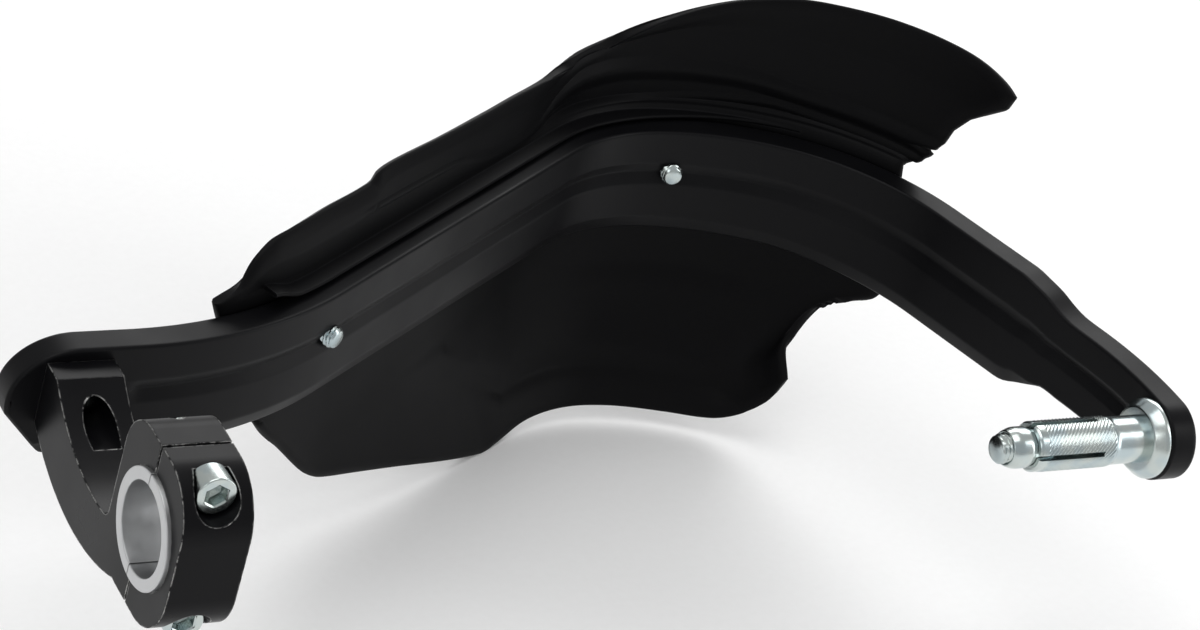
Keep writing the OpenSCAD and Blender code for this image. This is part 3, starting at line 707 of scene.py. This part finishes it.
# %% Screws and washers
CLAMP_SCREW_Z, CLAMP_SEAT_Y, ARM_BOLT_Z, WASHER_T = 17.85, -6.5, -8.0, 1.6
for name, side in (("upper", 1), ("lower", -1)):
    make_piece(f"clamp_cap_screw_{name}",
               [screw(9.8, 6, 5, 6, 20, 1.0, (0, CLAMP_SEAT_Y, side * CLAMP_SCREW_Z), (0, 1, 0))],
               zinc_finish, "zinc_plated_steel", f"clamp_screw_{name}")
make_piece("bar_to_arm_bolt",
           [screw(14, 4.4, 5, 8, 16, 1.25, (0, ARM_REACH + BAR_T + WASHER_T, ARM_BOLT_Z), (0, -1, 0),
                  button=True)],
           zinc_finish, "zinc_plated_steel", "arm_bolt")


def washer(inner, outer, place, axis):
    """A flat ring with broken edges, closed by ending where it began."""
    i, o, t = inner / 2, outer / 2, WASHER_T
    ring = rounded([(t / 2, i), (t, i), (t, o), (0, o), (0, i), (t / 2, i)], 0.25)
    return turned(ring, place, axis)


make_piece("bar_to_arm_washer", [washer(8.4, 16, (0, ARM_REACH + BAR_T, ARM_BOLT_Z), (0, 1, 0))],
           zinc_finish, "zinc_plated_steel", "arm_bolt_washer")
for name, s0 in (("inner", INNER_SCREW_S), ("outer", OUTER_SCREW_S)):
    spot, heading = along(s0)
    outward = 1j * np.exp(1j * heading)
    face = spot + BOSS_D * outward
    seat = face + WASHER_T * outward
    z0 = GROOVE_Z - BAR_DROP
    make_piece(f"shield_cap_screw_{name}",
               [screw(10, 6, 5, 6, 16, 1.0, (seat.real, seat.imag, z0), (-outward.real, -outward.imag, 0))],
               zinc_finish, "zinc_plated_steel", f"shield_screw_{name}")
    make_piece(f"shield_flat_washer_{name}",
               [washer(6.4, 12, (face.real, face.imag, z0), (outward.real, outward.imag, 0))],
               zinc_finish, "zinc_plated_steel", f"shield_washer_{name}")

# %% [markdown]
# ### The split bush
#
# The bush is a turned ring that is sawn in two. A whole ring could be cut with a boolean, which leaves
# sharp rims. Here each half is a small rounded rectangle carried round the handlebar's axis, nearly half
# a turn, so that its broken edges catch the light.

# %% The split bush
BUSH_W, BUSH_IN, BUSH_OUT, SPLIT_Y = 9.6, 11.1, 14.3, 1.5


def bush_half(side):
    """A rounded rectangle of x and radius r, carried round the x axis from one saw cut to the other.

    A cut lies where y = r cos(angle) comes to the split, so each row of the section has its own angles.
    """
    loop = rounded([(0, BUSH_IN), (BUSH_W, BUSH_IN), (BUSH_W, BUSH_OUT), (-BUSH_W, BUSH_OUT),
                    (-BUSH_W, BUSH_IN), (0, BUSH_IN)], 0.35)[:-1]
    first = np.arccos((SPLIT_Y + side * 0.2) / loop[:, 1])[None, :]
    turn = np.linspace(0, 1, 73)[:, None]
    angle = first - 2 * first * turn if side > 0 else first + (2 * math.pi - 2 * first) * turn
    x, r = loop[None, :, 0] + 0 * angle, loop[None, :, 1] + 0 * angle
    points = np.stack([x, r * np.cos(angle), r * np.sin(angle)], -1)
    ends = np.repeat(points[[0, -1]].mean(1, keepdims=True), points.shape[1], 1)
    points = np.concatenate([ends[:1], points, ends[1:]])
    return points * MM, quads(*points.shape[:2])


make_piece("turned_bush_front", [bush_half(1)], bush_finish, "bare_aluminium", "bush_front", sharp=20)
make_piece("turned_bush_rear", [bush_half(-1)], bush_finish, "bare_aluminium", "bush_rear", sharp=20)

# %% [markdown]
# ### The expanding plug
#
# A long bolt runs through the bar's tip, a bevelled collar, a knurled sleeve and a cone. Tightening it
# draws the cone into the sleeve, whose four slots let it swell against the inside of the handlebar.
# The sleeve is a plain ring next to the collar and four separate fingers beyond, so the fingers are
# drawn as loops that stop at the slots. The knurl is a set of ridges that lean round the sleeve.

# %% Collar, cone and bolt
COLLAR_D, COLLAR_H, SLEEVE_D, SLEEVE_LEN = 21.6, 4.1, 13.3, 34.7
SLOT_LEN, SLOT_W, SLOT_TURN, BORE_R = 20.5, 1.5, -7.5, 4.3
PLUG_PLACE, INBOARD = (plug_x, plug_y, -BAR_DROP), (-1, 0, 0)
sleeve_end = COLLAR_H + SLEEVE_LEN
collar = rounded([(COLLAR_H / 2, BORE_R), (COLLAR_H, BORE_R), (COLLAR_H, COLLAR_D / 2 - 2.1),
                  (1.4, COLLAR_D / 2), (0, COLLAR_D / 2), (0, BORE_R), (COLLAR_H / 2, BORE_R)], 0.5, 5)
make_piece("plug_bevelled_collar", [turned(collar, PLUG_PLACE, INBOARD)], zinc_finish,
           "zinc_plated_steel", "plug_collar")
cone = rounded([(sleeve_end - 3, 4.05), (sleeve_end - 6, 4.05), (sleeve_end - 6, 4.55),
                (sleeve_end + 0.1, 4.95), (sleeve_end + 1.6, 5.5), (sleeve_end + 5, 5.5),
                (sleeve_end + 7.2, 4.7), (sleeve_end + 7.2, 4.05), (sleeve_end - 3, 4.05)], 0.9, 5)
make_piece("plug_expanding_cone", [turned(cone, PLUG_PLACE, INBOARD)], zinc_finish,
           "zinc_plated_steel", "plug_cone")
make_piece("plug_long_bolt",
           [screw(14, 4.4, 5, 8, sleeve_end + 10 + BAR_T, 1.25, (plug_x + BAR_T, plug_y, -BAR_DROP),
                  INBOARD, button=True)], zinc_finish, "zinc_plated_steel", "plug_bolt")


# %% The knurled sleeve
# Ridges about 0.6 mm apart on the real sleeve, drawn 1.15 mm apart along it so that they show
KNURL_PITCH, KNURL_HEIGHT, PLAIN_RING = 1.15, 0.32, 10.0


def knurl(h, angle):
    """Height of the ridges: a zigzag over distance and angle, so that 30 ridges lean round the axis."""
    phase = h / KNURL_PITCH - 30 * angle / (2 * math.pi)
    ridges = KNURL_HEIGHT * (np.abs((phase % 1.0) * 2 - 1) - 0.5)
    starts = ramp(h, COLLAR_H + PLAIN_RING + 0.6, COLLAR_H + PLAIN_RING + 1.2)
    return ridges * starts * (1 - ramp(h, sleeve_end - 3, sleeve_end - 2.5))


def sleeve_parts():
    """The ring next to the collar, then four fingers, each a loop of an outer and an inner arc."""
    start, slots = COLLAR_H, sleeve_end - SLOT_LEN
    h = np.concatenate([np.linspace(start, start + PLAIN_RING, 9),
                        np.linspace(start + PLAIN_RING + 0.4, slots, 32)])
    outer = SLEEVE_D / 2 - 0.3 * (1 - ramp(h, start + PLAIN_RING - 0.1, start + PLAIN_RING + 0.5))
    ring = np.concatenate([[(start, BORE_R)], np.stack([h, outer], 1), [(slots, BORE_R), (start, BORE_R)]])
    # turned() measures its angle the other way round from the fingers
    parts = [turned(ring, PLUG_PLACE, INBOARD, 216, lambda h, r, a: r + knurl(h, -a) * (r > 6))]
    h = np.concatenate([np.linspace(slots - 0.02, sleeve_end - 0.5, 150), [sleeve_end]])[:, None]
    half_slot = math.asin(SLOT_W / SLEEVE_D)
    for quarter in range(4):
        begin = math.radians(SLOT_TURN + 90 * quarter) + half_slot
        a = np.linspace(begin, begin + math.pi / 2 - 2 * half_slot, 48)[None, :]
        inner_a = np.linspace(begin + math.pi / 2 - 2 * half_slot, begin, 9)[None, :]
        end_round = 0.5 * ramp(h, sleeve_end - 0.6, sleeve_end)
        r_out = SLEEVE_D / 2 + knurl(h, a) - end_round
        r_in = mix(BORE_R, SLEEVE_D / 2 - 1.5, ramp(h, sleeve_end - 11, sleeve_end)) + 0 * inner_a
        loop_r = np.concatenate([r_out, r_in], 1)
        loop_a = np.concatenate([a, inner_a], 1) + 0 * loop_r
        points = np.stack([-h + 0 * loop_r, loop_r * np.cos(loop_a), loop_r * np.sin(loop_a)], -1)
        points = points + np.array(PLUG_PLACE)
        # Each end is closed to a line along the middle of the wall
        middle_r = mix((SLEEVE_D / 2 + BORE_R) / 2, SLEEVE_D / 2 - 0.9, ramp(h[[0, -1]], slots, sleeve_end))
        ends = np.stack([points[[0, -1], :, 0], PLUG_PLACE[1] + middle_r * np.cos(loop_a[[0, -1]]),
                         PLUG_PLACE[2] + middle_r * np.sin(loop_a[[0, -1]])], -1)
        points = np.concatenate([ends[:1], points, ends[1:]])
        parts.append((points * MM, quads(*points.shape[:2])))
    return parts


make_piece("plug_knurled_sleeve", sleeve_parts(), zinc_finish, "zinc_plated_steel", "plug_sleeve")

# %% [markdown]
# ## Floor, light and camera
#
# The photograph is a studio cut-out: soft light from above, a white ground, and the camera above and
# behind the rider's hand. White paper on the floor and an even, half-bright sky give the ground and what
# the metal reflects, and large soft lamps add the sheen along the upward faces. A picture of a studio
# could light it too, but four named lamps say what each of them does.

# %% Floor and world
floor_z = min(cad_box[0][2], cad_box[1][2]) - 0.0005
floor_mesh = bpy.data.meshes.new("studio_floor")
floor_mesh.from_pydata([(x, y, floor_z) for x, y in ((-6, -6), (6, -6), (6, 6), (-6, 6))], [], [(0, 1, 2, 3)])
floor = bpy.data.objects.new("studio_floor", floor_mesh)
bpy.context.scene.collection.objects.link(floor)
paper = new_material("white_paper_floor")
fibres = add(paper, "ShaderNodeTexNoise", {"Scale": 400.0, "Detail": 3.0,
                                           "Vector": add(paper, "ShaderNodeTexCoord").outputs["Object"]})
tone = add(paper, "ShaderNodeMix", {0: fibres.outputs["Fac"], 6: colour("#fafafa"), 7: colour("#ffffff")},
           data_type="RGBA")
matt = add(paper, "ShaderNodeBsdfPrincipled", {"Base Color": tone.outputs[2], "Roughness": 0.9})
add(paper, "ShaderNodeOutputMaterial", {"Surface": matt.outputs["BSDF"]})
floor_mesh.materials.append(paper)

world = bpy.data.worlds.new("studio")
bpy.context.scene.world = world
world.use_nodes = True
world.node_tree.nodes.clear()
sky = add(world, "ShaderNodeBackground", {"Color": (1, 1, 1, 1), "Strength": 0.5})
add(world, "ShaderNodeOutputWorld", {"Surface": sky.outputs["Background"]})
print(f"floor at {floor_z / MM:.1f} mm")

# %% Soft lamps
middle = np.array([0.13, 0.08, -0.02])


def soft_lamp(name, place, width, height, power):
    """A rectangular area lamp at place that looks at the middle of the guard."""
    light = bpy.data.lights.new(name, "AREA")
    light.shape, light.size, light.size_y, light.energy = "RECTANGLE", width, height, power
    lamp = bpy.data.objects.new(name, light)
    bpy.context.scene.collection.objects.link(lamp)
    back = np.array(place) - middle
    back /= np.linalg.norm(back)
    right = np.cross((0, 0, 1), back)
    right /= np.linalg.norm(right)
    turn = np.eye(4)
    turn[:3, 0], turn[:3, 1], turn[:3, 2], turn[:3, 3] = right, np.cross(back, right), back, place
    lamp.matrix_world = Matrix(turn.tolist())
    return lamp


soft_lamp("far_side_softbox", (0.85, 1.1, 0.85), 1.4, 0.7, 9)
soft_lamp("overhead_softbox", (-0.1, 0.1, 1.2), 0.9, 0.9, 5)
soft_lamp("rider_side_softbox", (-0.9, -0.7, 0.7), 0.5, 0.5, 1.4)
soft_lamp("outboard_strip", (0.9, -0.35, 0.25), 0.25, 0.9, 2)

# %% The camera
CAMERA_PLACE = (-0.370763, -0.654343, 0.541194)
CAMERA_TURN = (57.474901, -14.688014, -26.130004)
view = bpy.data.cameras.new("photo_view")
view.sensor_width, view.lens, view.clip_start, view.clip_end = 36.0, 123.2864, 0.01, 50
camera = bpy.data.objects.new("photo_view", view)
camera.location = CAMERA_PLACE
camera.rotation_euler = [math.radians(a) for a in CAMERA_TURN]
bpy.context.scene.collection.objects.link(camera)
bpy.context.scene.camera = camera
bpy.context.scene.view_settings.view_transform = "Standard"
